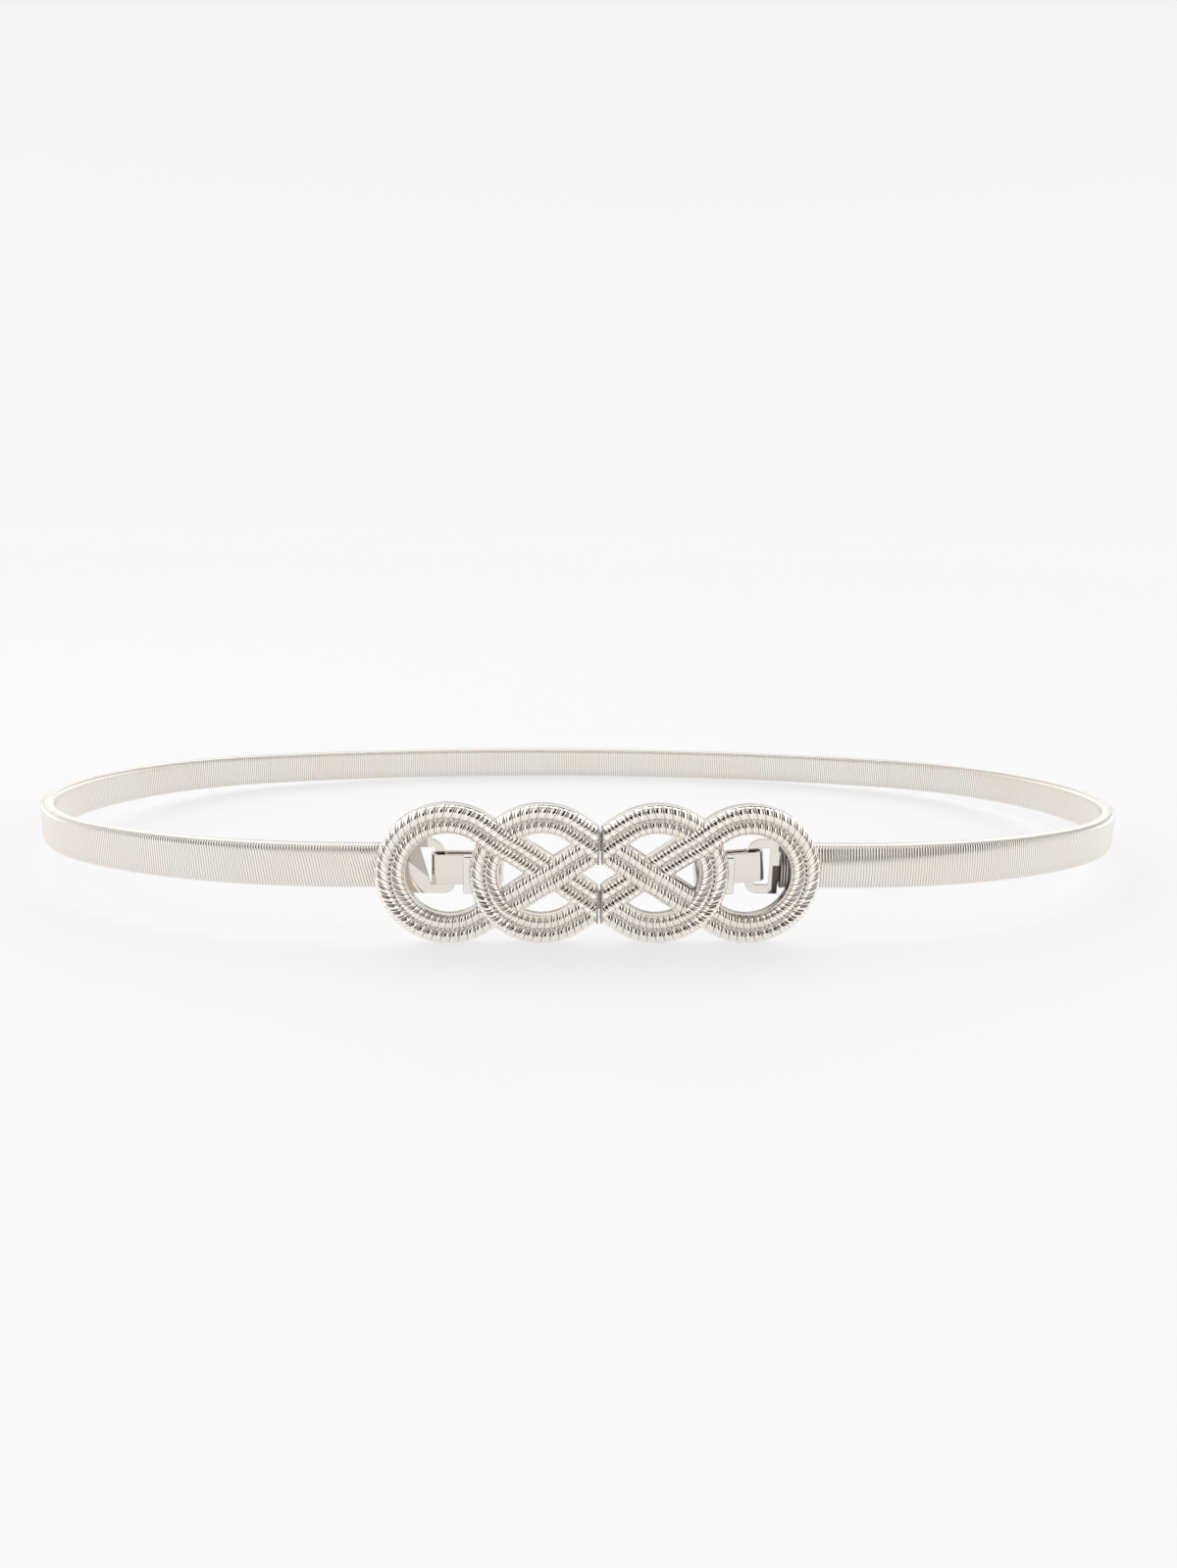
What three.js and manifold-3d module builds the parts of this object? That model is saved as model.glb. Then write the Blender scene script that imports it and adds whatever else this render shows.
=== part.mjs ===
// A metal waist belt that lies on its edge, closed: a flat spring band whose ends are joined by
// end plates and strip links to a cast knot buckle in two mirrored halves.
// Millimetres. X runs along the buckle, Y goes away from its face, Z is up.

import * as THREE from "three";
import { mergeVertices } from "three/addons/utils/BufferGeometryUtils.js";
import Module from "manifold-3d";

const wasm = await Module();
wasm.setup();
const { Manifold, Mesh: SolidMesh } = wasm;
const toRadians = THREE.MathUtils.degToRad;

// The loop of the band, seen from above.
const waistWidth = 295; // between the middles of the band's two sides
const frontStraight = 55.5; // from the seam to where the band starts to bend
const shoulderShare = 0.745; // the front shoulders' radius, as a share of half the width
const shoulderTurn = toRadians(35.5);
const backTurn = toRadians(22.5); // half of the flat bend at the back

// The band: one wire wound into a flat, hollow coil.
const bandHeight = 10;
const bandThickness = 3.5;
const bandWire = 0.65; // wall of the coil
const bandCorner = 1.1;
const bandRise = 0.7; // how far the band's middle sits above the buckle's middle

// The knot: two circles and the straight runs that cross beside them.
const lobeRadius = 12.7; // to the middle of the strand
const strandSlope = toRadians(33.5);
const crossingOut = 10.25; // from the seam to where the straight runs cross
const strandWidth = 6.6;
const strandDepth = 4.2; // from the flat back to the ropes' crests
const crossingSwing = 0.6; // how far a strand rises over, or dips under, another
const swingReach = 5.2; // along the strand, on each side of a crossing
const strandStep = 2.6; // between the sections that a strand is drawn through
const seamGap = 0.5;

// What the links pull on, cast at the back of each half.
const linkBarWidth = 3.4;
const linkBarDepth = 1.6;
const lugHeight = 1.6;
const lugSpread = 10; // clear height between the two lugs
const shoulderFlange = { width: 1.3, height: 8.7, depth: 2.0, lower: 0.35 };

// Link: a closed loop of flat strip.
const linkStrip = 0.6;
const linkHeight = 6.9;
const linkDepth = 3.5;
const linkReach = 37.3; // from the seam to the link's far end

// End plate: sheet with a bar, a window and a tongue that goes into the coil.
const plateSheet = 0.8;
const plateHeight = 13;
const plateCorner = 3.2;
const plateBar = 2.1; // width of the bar inside the link
const barSlack = 1.4; // from that bar to the link's far bend
const windowWidth = 3.3;
const windowHeight = 8.5;
const tongueLength = 6;
const tongueHeight = 7.2;

// Clasp: a flat hook behind the seam that holds two pegs of each half.
const claspSheet = 1.2;
const claspReach = 5.4; // from the seam to the hook's tips
const claspArm = 4.4; // height of each arm
const claspSpine = { from: 4.2, to: 6.4 };
const pegRadius = 0.9;
const pegOut = { fixed: 4.6, hooked: 3.6 }; // from the seam

const fit = 0.35; // clearance between pieces that touch on the real belt

// How finely round shapes are cut into flat faces.
const pegSides = 12;
const foldSteps = 5; // round each end of a link
const cornerSteps = 6;
const bandCornerSteps = 2;
const pathSamples = 600; // points that crossings are searched among

// What differs between the two ends, as they lie: lean shears the plate, roll turns the link.
const ends = [
  { name: "left", side: -1, plateLength: 10.2, lean: 15, linkRoll: 0, linkRise: 0.2 },
  { name: "right", side: 1, plateLength: 7.4, lean: 2, linkRoll: 5.5, linkRise: 0.5 },
];

// Sizes that follow from the ones above.
const halfStrand = strandWidth / 2;
const buckleMiddle = lobeRadius + halfStrand; // height of the knot's middle above the floor
const innerLobe = lobeRadius / Math.sin(strandSlope) - crossingOut;
const outerLobe = lobeRadius / Math.sin(strandSlope) + crossingOut;
const seamCrossing = crossingOut * Math.tan(strandSlope); // above and below the middle
const stackMiddle = fit + linkDepth / 2; // middle of link, plate and band behind the flat back
const bandMiddle = buckleMiddle + bandRise;
const barInner = innerLobe + lobeRadius - halfStrand + fit;
const mostRoll = toRadians(Math.max(...ends.map((end) => end.linkRoll)));
const rollSlack = (linkHeight / 2) * Math.sin(mostRoll);
const linkInner = barInner - fit - rollSlack - linkStrip;
const linkBack = linkReach - linkInner; // length of the link
const plateEnd = linkReach - linkStrip - barSlack - plateBar; // from the seam to its round end
const silver = {
  wire: { color: 0xd9d7d2, roughness: 0.3, metalness: 1 },
  cast: { color: 0xe2dfd8, roughness: 0.18, metalness: 1 },
  sheet: { color: 0xdcd8d0, roughness: 0.2, metalness: 1 },
};

// Arcs of the right half of the loop, from the front straight round to the middle of the back.
function loopArcs() {
  const half = waistWidth / 2;
  const shoulder = shoulderShare * half;
  const shoulderEnd = frontStraight + shoulder * Math.sin(shoulderTurn);
  const side = (half - shoulderEnd) / (1 - Math.sin(shoulderTurn));
  const sideEnd = half - side * (1 - Math.sin(backTurn));
  const back = sideEnd / Math.sin(backTurn);
  return [
    { radius: shoulder, turn: shoulderTurn, steps: 7 },
    { radius: side, turn: Math.PI - shoulderTurn - backTurn, steps: 20 },
    { radius: back, turn: backTurn, steps: 6 },
  ];
}

// Places along the right half of the loop: x, y and the way the band's outside faces.
function halfLoop(start) {
  const places = [];
  const add = (x, y, angle) =>
    places.push({ x, y, outX: Math.sin(angle), outY: -Math.cos(angle) });
  add(start, 0, 0);
  add(frontStraight, 0, 0);
  let [x, y, angle] = [frontStraight, 0, 0];
  for (const { radius, turn, steps } of loopArcs()) {
    const centre = { x: x - radius * Math.sin(angle), y: y + radius * Math.cos(angle) };
    for (let step = 1; step <= steps; step += 1) {
      const now = angle + (turn * step) / steps;
      x = centre.x + radius * Math.sin(now);
      y = centre.y - radius * Math.cos(now);
      add(x, y, now);
    }
    angle += turn;
  }
  return places;
}

const loopDepth = halfLoop(0).at(-1).y;
const frontLift = bandMiddle - bandHeight / 2;
const frontFace = -(strandDepth + crossingSwing);
const backFace = stackMiddle + loopDepth + bandThickness / 2;

// A closed skin over rings of points that all have the same count. Flat is the section as drawn,
// which the two end caps are cut from.
function skin(rings, flat) {
  const count = flat.length;
  const positions = rings.flat().flatMap((point) => [point.x, point.y, point.z]);
  const index = [];
  for (let ring = 0; ring + 1 < rings.length; ring += 1) {
    for (let i = 0; i < count; i += 1) {
      const j = (i + 1) % count;
      const [a, b] = [ring * count + i, ring * count + j];
      index.push(a, b, a + count, b, b + count, a + count);
    }
  }
  const last = (rings.length - 1) * count;
  for (const [a, b, c] of THREE.ShapeUtils.triangulateShape(flat, [])) {
    index.push(a, c, b, last + a, last + b, last + c);
  }
  const geometry = new THREE.BufferGeometry();
  geometry.setAttribute("position", new THREE.Float32BufferAttribute(positions, 3));
  geometry.setIndex(index);
  return geometry;
}

// Geometry to solid, turned right way out where the rings ran the other way round.
function solid(geometry) {
  const bare = geometry.clone();
  bare.deleteAttribute("normal");
  bare.deleteAttribute("uv");
  const merged = mergeVertices(bare, 1e-5);
  const vertProperties = new Float32Array(merged.attributes.position.array);
  const triVerts = new Uint32Array(merged.index.array);
  const made = new Manifold(new SolidMesh({ numProp: 3, vertProperties, triVerts }));
  if (made.volume() > 0) return made;
  for (let i = 0; i < triVerts.length; i += 3) {
    [triVerts[i + 1], triVerts[i + 2]] = [triVerts[i + 2], triVerts[i + 1]];
  }
  return new Manifold(new SolidMesh({ numProp: 3, vertProperties, triVerts }));
}

function geometryOf(manifold) {
  const { vertProperties, triVerts } = manifold.getMesh();
  const geometry = new THREE.BufferGeometry();
  geometry.setAttribute("position", new THREE.Float32BufferAttribute(vertProperties, 3));
  geometry.setIndex(Array.from(triVerts));
  geometry.computeVertexNormals();
  return geometry;
}

function block({ x, y, z }) {
  const box = new THREE.BoxGeometry(x[1] - x[0], y[1] - y[0], z[1] - z[0]);
  box.translate((x[0] + x[1]) / 2, (y[0] + y[1]) / 2, (z[0] + z[1]) / 2);
  return solid(box);
}

// A flat shape drawn in x and z, given a thickness from y near to y far.
function slab(shape, near, far) {
  const options = { depth: far - near, bevelEnabled: false, curveSegments: cornerSteps };
  const geometry = new THREE.ExtrudeGeometry(shape, options);
  geometry.rotateX(Math.PI / 2);
  geometry.translate(0, far, 0);
  return geometry;
}

function roundedBox(path, x0, x1, z0, z1, radius) {
  path.moveTo(x0 + radius, z0);
  path.lineTo(x1 - radius, z0);
  path.absarc(x1 - radius, z0 + radius, radius, -Math.PI / 2, 0);
  path.lineTo(x1, z1 - radius);
  path.absarc(x1 - radius, z1 - radius, radius, 0, Math.PI / 2);
  path.lineTo(x0 + radius, z1);
  path.absarc(x0 + radius, z1 - radius, radius, Math.PI / 2, Math.PI);
  path.lineTo(x0, z0 + radius);
  path.absarc(x0 + radius, z0 + radius, radius, Math.PI, 1.5 * Math.PI);
  return path;
}

function mesh(name, geometry, finish) {
  const piece = new THREE.Mesh(geometry, new THREE.MeshStandardMaterial(finish));
  piece.name = name;
  return piece;
}

// The band's outline, or the hollow's when it is set in by the wire: a rounded box in depth and
// height, as points that don't repeat.
function bandSection(inset) {
  const [deep, high] = [bandThickness / 2 - inset, bandHeight / 2 - inset];
  const corner = Math.max(bandCorner - inset, bandWire / 2);
  const outline = roundedBox(new THREE.Path(), -deep, deep, -high, high, corner);
  const points = outline.getPoints(bandCornerSteps);
  return points.filter((point, i) => point.distanceTo(points[(i + 1) % points.length]) > 1e-3);
}

// Spring band: the coil and the hollow inside it, swept round the loop and tilted from the
// lifted front down to the back. Every section stands upright.
function springBand() {
  const [left, right] = ends.map((end) => halfLoop(plateEnd + end.plateLength + fit));
  const mirrored = left.map((place) => ({ ...place, x: -place.x, outX: -place.outX }));
  const places = [...right, ...mirrored.slice(0, -1).reverse()];
  const sweep = (flat, past) => {
    const rings = places.map((place, i) => {
      const tip = i === 0 ? -past : i === places.length - 1 ? past : 0;
      const middle = frontLift * (1 - place.y / loopDepth) + bandHeight / 2;
      return flat.map(({ x, y }) => {
        const [acrossX, acrossY] = [place.outX * x, place.outY * x];
        return new THREE.Vector3(place.x + acrossX + tip, place.y + acrossY, middle + y);
      });
    });
    return solid(skin(rings, flat));
  };
  const hollow = sweep(bandSection(bandWire), bandWire);
  const geometry = geometryOf(sweep(bandSection(0), 0).subtract(hollow));
  geometry.translate(0, stackMiddle, 0);
  return mesh("spring_band", geometry, silver.wire);
}

// The strand's cross section: flat back, a low rim and two rope crests with a valley between.
// Across is a share of half the strand's width, rise a share of its depth.
const strandProfile = [
  { across: 1.0, rise: 0.54 },
  { across: 0.93, rise: 0.74 },
  { across: 0.76, rise: 0.94 },
  { across: 0.52, rise: 1.0 },
  { across: 0.26, rise: 0.93 },
  { across: 0.0, rise: 0.76 },
];

// A strand's middle, in x outward from the seam and z from the knot's middle: from past the seam
// in a straight line, round a lobe, and back in a straight line. It meets the seam at seamZ.
function strandPath(lobe, seamZ) {
  const past = strandWidth;
  const start = new THREE.Vector2(-past, seamZ - past * Math.tan(strandSlope));
  const open = Math.PI / 2 + strandSlope;
  const touch = new THREE.Vector2(Math.cos(open), Math.sin(open)).multiplyScalar(lobeRadius);
  touch.x += lobe;
  const below = ({ x, y }) => new THREE.Vector2(x, -y);
  const path = new THREE.CurvePath();
  path.add(new THREE.LineCurve(start, touch));
  path.add(new THREE.EllipseCurve(lobe, 0, lobeRadius, lobeRadius, open, -open, true));
  path.add(new THREE.LineCurve(below(touch), below(start)));
  return path;
}

// Where the strands cross, and whether a strand is over or under as it comes by, in order.
function crossings() {
  const reach = (outerLobe - innerLobe) / 2;
  const high = Math.sqrt(lobeRadius ** 2 - reach ** 2);
  const seam = new THREE.Vector2(0, seamCrossing);
  const middle = new THREE.Vector2(crossingOut, 0);
  const lobes = new THREE.Vector2(innerLobe + reach, high);
  const below = (point) => new THREE.Vector2(point.x, -point.y);
  return {
    long: [
      { at: below(seam), over: 1 },
      { at: middle, over: -1 },
      { at: lobes, over: 1 },
      { at: below(lobes), over: -1 },
      { at: middle, over: 1 },
      { at: seam, over: -1 },
    ],
    short: [
      { at: seam, over: 1 },
      { at: lobes, over: -1 },
      { at: below(lobes), over: 1 },
      { at: below(seam), over: -1 },
    ],
  };
}

// Distance along a path of each crossing, found in order from the path's start.
function crossingLengths(path, rows) {
  const length = path.getLength();
  const points = path.getSpacedPoints(pathSamples);
  let from = 0;
  return rows.map(({ at, over }) => {
    let best = from;
    let nearest = Infinity;
    for (let i = from; i <= pathSamples; i += 1) {
      const distance = points[i].distanceTo(at);
      if (distance < nearest) [nearest, best] = [distance, i];
      else if (nearest < halfStrand && distance > lobeRadius / 2) break;
    }
    from = best + 1;
    return { along: (best / pathSamples) * length, over };
  });
}

function strand(path, rows) {
  const length = path.getLength();
  const steps = Math.round(length / strandStep);
  const marks = crossingLengths(path, rows);
  const half = strandProfile.map(({ across, rise }) => ({
    across: across * halfStrand,
    rise: rise * strandDepth,
  }));
  const mirrored = half.slice(0, -1).reverse();
  const top = [...half, ...mirrored.map(({ across, rise }) => ({ across: -across, rise }))];
  const rings = [];
  let flat = [];
  for (let step = 0; step <= steps; step += 1) {
    const point = path.getPointAt(step / steps);
    const tangent = path.getTangentAt(step / steps);
    const along = (step / steps) * length;
    const lift = marks.reduce((sum, mark) => {
      const away = Math.min(Math.abs(along - mark.along) / swingReach, 1);
      return sum + mark.over * crossingSwing * Math.cos((away * Math.PI) / 2) ** 2;
    }, 0);
    const outline = [
      { across: halfStrand, rise: 0 },
      ...top.map(({ across, rise }) => ({ across, rise: rise + lift })),
      { across: -halfStrand, rise: 0 },
    ];
    flat = outline.map(({ across, rise }) => new THREE.Vector2(across, rise));
    const place = ({ x, y }) =>
      new THREE.Vector3(point.x - tangent.y * x, -y, point.y + tangent.x * x);
    rings.push(flat.map(place));
  }
  return solid(skin(rings, flat));
}

// The bar that a link goes round, on two lugs at the back, and the plain flange beside it.
function linkBar() {
  const near = fit + linkStrip + fit;
  const x = [barInner, barInner + linkBarWidth];
  const top = lugSpread / 2 + lugHeight;
  const bar = block({ x, y: [near, near + linkBarDepth], z: [-top, top] });
  const lugs = [-1, 1].map((way) => {
    const z = [way * top, way * (lugSpread / 2)].sort((a, b) => a - b);
    return block({ x, y: [-strandDepth / 4, near + linkBarDepth], z });
  });
  const edge = innerLobe + lobeRadius + halfStrand;
  const { width, height, depth, lower } = shoulderFlange;
  const flange = block({
    x: [edge - halfStrand, edge + width],
    y: [-depth, 0],
    z: [-height / 2 - lower, height / 2 - lower],
  });
  return bar.add(lugs[0]).add(lugs[1]).add(flange);
}

function peg(out, way) {
  const length = strandDepth / 4 + fit + claspSheet;
  const pin = new THREE.CylinderGeometry(pegRadius, pegRadius, length, pegSides);
  pin.translate(out, length / 2 - strandDepth / 4, way * seamCrossing);
  return solid(pin);
}

// One half of the buckle, built outward from the seam and mirrored for the left.
function buckleHalf(end) {
  const over = crossings();
  let half = strand(strandPath(outerLobe, -seamCrossing), over.long)
    .add(strand(strandPath(innerLobe, seamCrossing), over.short))
    .add(linkBar());
  const out = end.side < 0 ? pegOut.fixed : pegOut.hooked;
  for (const way of [-1, 1]) half = half.add(peg(out, way));
  const wide = 2 * strandWidth;
  const tall = 2 * buckleMiddle;
  half = half.subtract(block({ x: [-wide, seamGap / 2], y: [-wide, wide], z: [-tall, tall] }));
  const geometry = geometryOf(end.side < 0 ? half.scale([-1, 1, 1]) : half);
  geometry.translate(0, 0, buckleMiddle);
  return mesh(`buckle_half_${end.name}`, geometry, silver.cast);
}

function link(end) {
  const radius = linkDepth / 2;
  const shape = new THREE.Shape();
  const long = linkBack / 2;
  roundedBox(shape, -long, long, -radius, radius, radius);
  const [inLong, inRadius] = [long - linkStrip, radius - linkStrip];
  shape.holes.push(roundedBox(new THREE.Path(), -inLong, inLong, -inRadius, inRadius, inRadius));
  const options = { depth: linkHeight, bevelEnabled: false, curveSegments: foldSteps };
  const geometry = new THREE.ExtrudeGeometry(shape, options);
  geometry.translate(0, 0, -linkHeight / 2);
  const piece = mesh(`link_${end.name}`, geometry, silver.sheet);
  piece.rotation.y = -end.side * toRadians(end.linkRoll);
  const middle = end.side * (linkReach - linkBack / 2);
  piece.position.set(middle, stackMiddle, buckleMiddle + end.linkRise);
  return piece;
}

// The plate's outline, drawn outward from its rounded end, with the lean as a shear.
function plateShape(end) {
  const shape = new THREE.Shape();
  const high = plateHeight / 2;
  const tongue = tongueHeight / 2;
  const [x0, x1] = [plateEnd, plateEnd + end.plateLength];
  const tip = x1 + fit + tongueLength;
  shape.moveTo(x0 + plateCorner, -high);
  shape.lineTo(x1 - fit, -high);
  shape.lineTo(x1, fit - high);
  shape.lineTo(x1, -tongue);
  shape.lineTo(tip - fit, -tongue);
  shape.lineTo(tip, fit - tongue);
  shape.lineTo(tip, tongue - fit);
  shape.lineTo(tip - fit, tongue);
  shape.lineTo(x1, tongue);
  shape.lineTo(x1, high - fit);
  shape.lineTo(x1 - fit, high);
  shape.lineTo(x0 + plateCorner, high);
  shape.absarc(x0 + plateCorner, high - plateCorner, plateCorner, Math.PI / 2, Math.PI);
  shape.lineTo(x0, plateCorner - high);
  shape.absarc(x0 + plateCorner, plateCorner - high, plateCorner, Math.PI, 1.5 * Math.PI);
  const from = x0 + plateBar;
  const tall = windowHeight / 2;
  const window = roundedBox(new THREE.Path(), from, from + windowWidth, -tall, tall, fit);
  shape.holes.push(window);
  return shape;
}

// The lean fades out along the tongue, so that the tongue stays inside the coil.
function lean(geometry, end) {
  const slant = Math.tan(toRadians(end.lean));
  const places = geometry.attributes.position;
  const x1 = plateEnd + end.plateLength;
  for (let i = 0; i < places.count; i += 1) {
    const x = places.getX(i);
    const share = THREE.MathUtils.clamp((x1 - x) / plateCorner, 0, 1);
    places.setX(i, x + places.getZ(i) * slant * share);
  }
  return geometry;
}

function endPlate(end) {
  const near = stackMiddle - plateSheet / 2;
  const flat = slab(plateShape(end), near, near + plateSheet);
  const plate = solid(lean(flat, end));
  const geometry = geometryOf(end.side < 0 ? plate.scale([-1, 1, 1]) : plate);
  geometry.translate(0, 0, bandMiddle);
  return mesh(`end_plate_${end.name}`, geometry, silver.sheet);
}

// A flat hook in the shape of a C: its spine is behind the left half, its arms cross the seam,
// round holes hold the left half's pegs and open notches catch the right half's.
function claspHook() {
  const shape = new THREE.Shape();
  const outer = seamCrossing + claspArm / 2;
  const inner = seamCrossing - claspArm / 2;
  const notch = pegRadius + fit;
  shape.moveTo(-claspSpine.to, -outer);
  shape.lineTo(pegOut.hooked - notch, -outer);
  shape.lineTo(pegOut.hooked - notch, -seamCrossing);
  shape.absarc(pegOut.hooked, -seamCrossing, notch, Math.PI, 0, true);
  shape.lineTo(pegOut.hooked + notch, -outer);
  shape.lineTo(claspReach + fit, -outer);
  shape.lineTo(claspReach + fit, -inner);
  shape.lineTo(-claspSpine.from, -inner);
  shape.lineTo(-claspSpine.from, inner);
  shape.lineTo(pegOut.hooked - notch, inner);
  shape.lineTo(pegOut.hooked - notch, seamCrossing);
  shape.absarc(pegOut.hooked, seamCrossing, notch, Math.PI, 0, true);
  shape.lineTo(pegOut.hooked + notch, inner);
  shape.lineTo(claspReach + fit, inner);
  shape.lineTo(claspReach + fit, outer);
  shape.lineTo(-claspSpine.to, outer);
  let hook = solid(slab(shape, fit, fit + claspSheet));
  for (const way of [-1, 1]) {
    const hole = new THREE.CylinderGeometry(notch, notch, 2 * claspSheet, pegSides);
    hole.translate(-pegOut.fixed, fit + claspSheet / 2, way * seamCrossing);
    hook = hook.subtract(solid(hole));
  }
  const geometry = geometryOf(hook);
  geometry.translate(0, 0, buckleMiddle);
  return mesh("clasp_hook", geometry, silver.sheet);
}

const belt = new THREE.Group();
belt.name = "metal_waist_belt";
belt.position.y = -(frontFace + backFace) / 2;
belt.add(springBand());
for (const end of ends) belt.add(endPlate(end), link(end), buckleHalf(end));
belt.add(claspHook());

export default belt;
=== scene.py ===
# %% [markdown]
# # A metal waist belt
# The belt lies closed on its edge. A flat spring band, wound from one fine wire, goes round the
# waist. Sheet plates and strip links join its ends to a cast buckle, a knot of twisted rope in
# two mirrored halves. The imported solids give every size; this script dresses them.

# %% Load the frame
import math

import bmesh
import bpy
import numpy as np
from mathutils import Matrix, Vector


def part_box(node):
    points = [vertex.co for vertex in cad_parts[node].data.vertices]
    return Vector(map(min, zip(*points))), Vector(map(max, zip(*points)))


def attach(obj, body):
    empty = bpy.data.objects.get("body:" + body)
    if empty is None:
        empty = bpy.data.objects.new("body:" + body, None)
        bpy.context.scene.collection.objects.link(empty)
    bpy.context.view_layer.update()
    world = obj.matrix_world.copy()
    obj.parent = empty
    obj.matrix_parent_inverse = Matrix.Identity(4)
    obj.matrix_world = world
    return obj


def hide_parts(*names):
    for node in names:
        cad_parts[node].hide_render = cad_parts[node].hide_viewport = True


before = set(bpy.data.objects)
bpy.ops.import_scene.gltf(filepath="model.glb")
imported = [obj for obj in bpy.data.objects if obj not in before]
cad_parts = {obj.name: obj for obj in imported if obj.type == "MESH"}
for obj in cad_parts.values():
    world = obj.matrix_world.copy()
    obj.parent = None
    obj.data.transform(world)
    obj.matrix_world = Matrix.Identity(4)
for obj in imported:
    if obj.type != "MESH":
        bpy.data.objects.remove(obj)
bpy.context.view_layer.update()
MM = 0.001

# %% [markdown]
# ## The camera
# The photograph was taken from close by, a little left of the seam, looking slightly down. A
# lens is easiest to reason about in pixels: how far away a thing as wide as one pixel would be.
# Blender wants millimetres on a 36 mm sensor, whose long side is the picture's long side.

# %% Camera
PICTURE_HEIGHT = 1599
LENS_PIXELS = 1100
LOOK_DOWN, TURN_RIGHT, ROLL = math.radians(13.76), math.radians(2.71), math.radians(1.02)
STANDS_LEFT, STANDS_BACK, STANDS_HIGH = 13.5 * MM, 230.4 * MM, 92.0 * MM
band_low, band_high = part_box("spring_band")
BAND_DEEP = 3.5 * MM
front_y = band_low.y + BAND_DEEP / 2
camera = bpy.data.objects.new("camera", bpy.data.cameras.new("camera"))
bpy.context.scene.collection.objects.link(camera)
camera.data.sensor_width = 36
camera.data.lens = LENS_PIXELS / PICTURE_HEIGHT * camera.data.sensor_width
camera.data.clip_start = 0.01
aim = Matrix.Rotation(-TURN_RIGHT, 4, "Z") @ Matrix.Rotation(math.pi / 2 - LOOK_DOWN, 4, "X")
place = Vector((-STANDS_LEFT, front_y - STANDS_BACK, STANDS_HIGH))
camera.matrix_world = Matrix.Translation(place) @ aim @ Matrix.Rotation(ROLL, 4, "Z")
bpy.context.scene.camera = camera
print("lens, mm:", round(camera.data.lens, 2))

# %% [markdown]
# ## Shader sums
# A finish is easier to read as a sum than as a web of nodes. This class holds one socket; plus
# and times on it add the node that does the sum, and `node` adds any other kind.


# %% A socket that can be reckoned with
class Socket:
    def __init__(self, tree, socket):
        self.tree = tree
        self.socket = socket

    def node(self, kind, settings=None, values=None, output=0):
        """Add a node: settings are set first, then each socket's value or link."""
        made = self.tree.nodes.new(kind)
        for name, value in (settings or {}).items():
            setattr(made, name, value)
        for name, value in (values or {}).items():
            if isinstance(value, Socket):
                self.tree.links.new(value.socket, made.inputs[name])
            else:
                made.inputs[name].default_value = value
        return Socket(self.tree, made.outputs[output])

    def reckon(self, operation, first, second):
        values = {0: first, 1: second}
        if any(isinstance(v, Socket) and v.socket.type == "VECTOR" for v in (first, second)):
            return self.node("ShaderNodeVectorMath", {"operation": operation}, values)
        return self.node("ShaderNodeMath", {"operation": operation}, values)

    def __add__(self, other):
        return self.reckon("ADD", self, other)

    def __radd__(self, other):
        return self.reckon("ADD", other, self)

    def __mul__(self, other):
        return self.reckon("MULTIPLY", self, other)

    def __rmul__(self, other):
        return self.reckon("MULTIPLY", other, self)

    def step(self, low, high):
        """Nothing below low, one above high, and a soft rise between."""
        rise = {"Value": self, "From Min": low, "From Max": high}
        return self.node("ShaderNodeMapRange", {"interpolation_type": "SMOOTHSTEP"}, rise)

    def blend(self, colour_low, colour_high):
        """One colour where this is 0 and the other where it is 1."""
        values = {"Factor": self, 6: colour_low, 7: colour_high}
        return self.node("ShaderNodeMix", {"data_type": "RGBA"}, values, 2)

    def feed(self, shader, name):
        self.tree.links.new(self.socket, shader.inputs[name])


def start(tree, kind, output):
    """The first socket of a tree: one output of a node with nothing plugged in."""
    return Socket(tree, tree.nodes.new(kind).outputs[output])


# %% [markdown]
# ## Floor and light
# Polished metal shows the room more than itself. On the real belt the ropes are white with dark
# dashes on their upper halves: they mirror a white room whose ceiling is dark above and behind
# the camera, between two bright sides. The far side is bright again. The camera itself sees a
# plain pale backdrop in place of that room.

# %% World
world = bpy.data.worlds.new("studio")
bpy.context.scene.world = world
world.use_nodes = True
sky = start(world.node_tree, "ShaderNodeTexCoord", "Generated")
split = {"Vector": sky}
side = sky.node("ShaderNodeSeparateXYZ", None, split, 0)
ahead = sky.node("ShaderNodeSeparateXYZ", None, split, 1)
up = sky.node("ShaderNodeSeparateXYZ", None, split, 2)
SIDE_WALLS, FAR_SIDE = (0.26, 0.46), (0.22, 0.35)
NEAR_TOP, FAR_TOP, BACKDROP_RISE = (0.04, 0.12), (0.38, 0.48), (0.0, 0.4)
low_white, side_white = (0.84, 0.84, 0.84, 1), (1.6, 1.6, 1.6, 1)
far_white = (1.35, 1.35, 1.34, 1)
ceiling_dark = (0.04, 0.026, 0.024, 1)
backdrop_low, backdrop_high = (0.945, 0.945, 0.942, 1), (0.9, 0.9, 0.898, 1)
ceiling = (side * side).step(*SIDE_WALLS).blend(ceiling_dark, side_white)
near_room = up.step(*NEAR_TOP).blend(low_white, ceiling)
far_room = up.step(*FAR_TOP).blend(low_white, far_white)
room = ahead.step(*FAR_SIDE).blend(near_room, far_room)
seen = start(world.node_tree, "ShaderNodeLightPath", "Is Camera Ray")
room = seen.blend(room, up.step(*BACKDROP_RISE).blend(backdrop_low, backdrop_high))
room.feed(world.node_tree.nodes["Background"], "Color")
bpy.context.scene.view_settings.view_transform = "Standard"
print("sines of height at which near and far walls change:", NEAR_TOP, FAR_TOP)

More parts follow.
